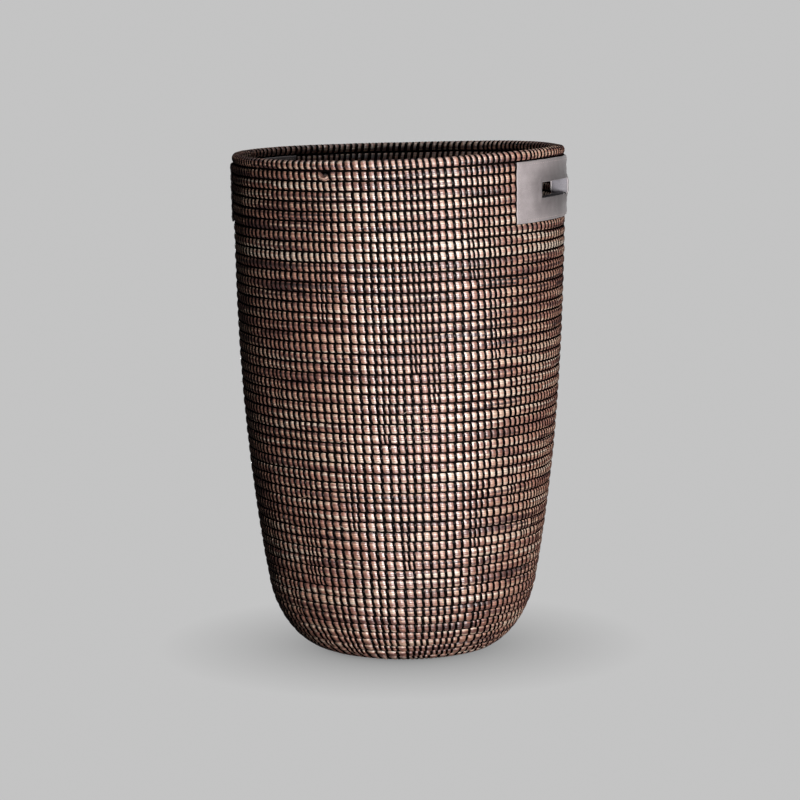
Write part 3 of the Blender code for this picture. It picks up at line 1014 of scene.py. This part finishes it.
def makeSeam(name, handleAngle, outside, seed, node):
    # One short stitch after another round the patch, sunk into the leather
    halfAlong, halfUp = leather["halfLength"] - seam["inset"], leather["width"] / 2 - seam["inset"]
    middle = (patchTop + patchBottom) / 2
    corners = [(-halfAlong, -halfUp), (halfAlong, -halfUp), (halfAlong, halfUp), (-halfAlong, halfUp)]
    parts = MeshParts()
    steps = np.linspace(-1, 1, seam["points"] + 1)[:, None]
    around = circleSteps(seam["points"])[None, :]
    bake = np.stack(np.broadcast_arrays(0.5 + steps * 0.4, around / fullTurn), axis=-1)
    for start, end in zip(corners, corners[1:] + corners[:1]):
        run = np.array(end) - np.array(start)
        size = np.hypot(*run)
        number = round(size / seam["spacing"])
        direction = run / size
        for step in range(number):
            centre = np.array(start) + run * (step + 0.5) / number
            thin = seam["thickness"] / 2 * np.sqrt(np.clip(1 - steps ** 4, 0.02, 1))
            reach = steps * seam["stitch"] / 2
            side = thin * np.cos(around[:, :-1])
            along = centre[0] + direction[0] * reach - direction[1] * side
            length = middle + centre[1] + direction[1] * reach + direction[0] * side
            front = leather["lift"] + leather["thickness"] + leatherRise(along, length, seed)
            sunk = seam["bend"] * steps ** 2 - seam["proud"]
            rise = front - sunk + thin * np.sin(around[:, :-1])
            offset = rise if outside else -basket["wall"] - rise
            points = handlePoints(handleAngle, along, length, offset)
            if not outside:
                points = points[::-1]
            parts.addTube(points, {"OFBake": bake})
    finishPiece(parts.make(name, threadMaterial), [node])


def makeHandles():
    for side, angle, seed in (("right", handle["angles"][0], 50), ("left", handle["angles"][1], 70)):
        makePatch(side + "_patch_outside", angle, True, seed, side + "_outer_patch")
        makePatch(side + "_patch_inside", angle, False, seed + 7, side + "_inner_patch")
        makeLining(side + "_lining", angle, seed + 3, side + "_slot_lining")
        makeSeam(side + "_seam_outside", angle, True, seed, side + "_outer_thread")
        makeSeam(side + "_seam_inside", angle, False, seed + 7, side + "_inner_thread")
    print("handles sewn on")


makeHandles()

# The light, the floor and the camera
cameraAngle = math.radians(21.9)
studio = {
    "cameraDistance": 3.6,
    "cameraHeight": 0.795,
    "aimHeight": 0.2988,
    "aimSide": -0.0012,
    "lens": 135.2,
    "roll": math.radians(-0.57),
    "worldStrength": 0.014,
    "paleness": 0.55,  # of the floor and of what lies beyond it
    "floorHalf": 30,
    "floorDrop": 0.0004,
    "shadowRadii": (0.10, 0.30),
    "shadowShare": 0.45,  # of the paleness, where the shadow is darkest
    # Each light's power, size, angle, distance, height, and the height that it points at
    "keyLight": (37.0, (0.45, 0.32), math.radians(39), 1.5, 0.36, 0.31),
    "fillLight": (5.5, (1.4, 1.0), cameraAngle, 3.0, 1.9, 0.45),
    "backLight": (90.0, (1.2, 0.4), cameraAngle + math.pi, 3.0, 0.22, 0.3),
    "topLight": (15.0, (0.8, 0.8), cameraAngle, 0.05, 2.6, 0.3),
}


def placeAround(angle, distance, height):
    return Vector((distance * math.sin(angle), -distance * math.cos(angle), height))


def makeLight(name):
    power, size, angle, distance, height, aimHeight = studio[name]
    data = bpy.data.lights.new(name, "AREA")
    data.energy, data.shape = power, "RECTANGLE"
    data.size, data.size_y = size
    light = addObject(name, data)
    light.location = placeAround(angle, distance, height)
    light.rotation_euler = (Vector((0, 0, aimHeight)) - light.location).to_track_quat("-Z", "Y").to_euler()
    light.visible_camera = False


def makeFloor():
    half, height = studio["floorHalf"], -studio["floorDrop"]
    corners = [(-half, -half, height), (half, -half, height), (half, half, height), (-half, half, height)]
    data = bpy.data.meshes.new("floor")
    data.from_pydata(corners, [], [(0, 1, 2, 3)])
    floor = addObject("floor", data)
    material, tree, shader = startMaterial("paleFloor")
    # A soft shadow round the foot of the basket
    place = addNode(tree, "TexCoord").outputs["Object"]
    reach = addNode(tree, "VectorMath", {0: place}, operation="LENGTH").outputs["Value"]
    shadow = doMath(tree, "POWER", mapRange(tree, reach, *studio["shadowRadii"], 0.0, 1.0), 0.5)
    darkest = studio["paleness"] * studio["shadowShare"]
    strength = mapRange(tree, shadow, 0.0, 1.0, darkest, studio["paleness"])
    setInputs(tree, shader, {
        "Base Color": (0.0, 0.0, 0.0, 1), "Roughness": 0.9, "Specular IOR Level": 0.0,
        "Emission Color": (1.0, 1.0, 1.0, 1), "Emission Strength": strength})
    data.materials.append(material)
    # The floor's own paleness lights nothing
    floor.visible_diffuse, floor.visible_glossy = False, False


def makeWorld():
    world = bpy.data.worlds.new("studio")
    world.use_nodes = True
    tree = world.node_tree
    seen = addNode(tree, "LightPath").outputs["Is Camera Ray"]
    strength = mapRange(tree, seen, 0.0, 1.0, studio["worldStrength"], studio["paleness"])
    setInputs(tree, tree.nodes["Background"], {"Color": (1.0, 1.0, 1.0, 1), "Strength": strength})
    bpy.context.scene.world = world


def makeCamera():
    data = bpy.data.cameras.new("camera")
    data.lens = studio["lens"]
    camera = addObject("camera", data)
    side = studio["aimSide"]
    camera.location = placeAround(cameraAngle, studio["cameraDistance"], studio["cameraHeight"])
    aim = Vector((side * math.cos(cameraAngle), side * math.sin(cameraAngle), studio["aimHeight"]))
    camera.rotation_euler = (aim - camera.location).to_track_quat("-Z", "Y").to_euler()
    camera.rotation_euler.rotate_axis("Z", studio["roll"])
    scene = bpy.context.scene
    scene.camera = camera
    scene.view_settings.view_transform = "Standard"
    scene.view_settings.look = "None"


makeFloor()
for name in ("keyLight", "fillLight", "backLight", "topLight"):
    makeLight(name)
makeWorld()
makeCamera()
print("studio set")
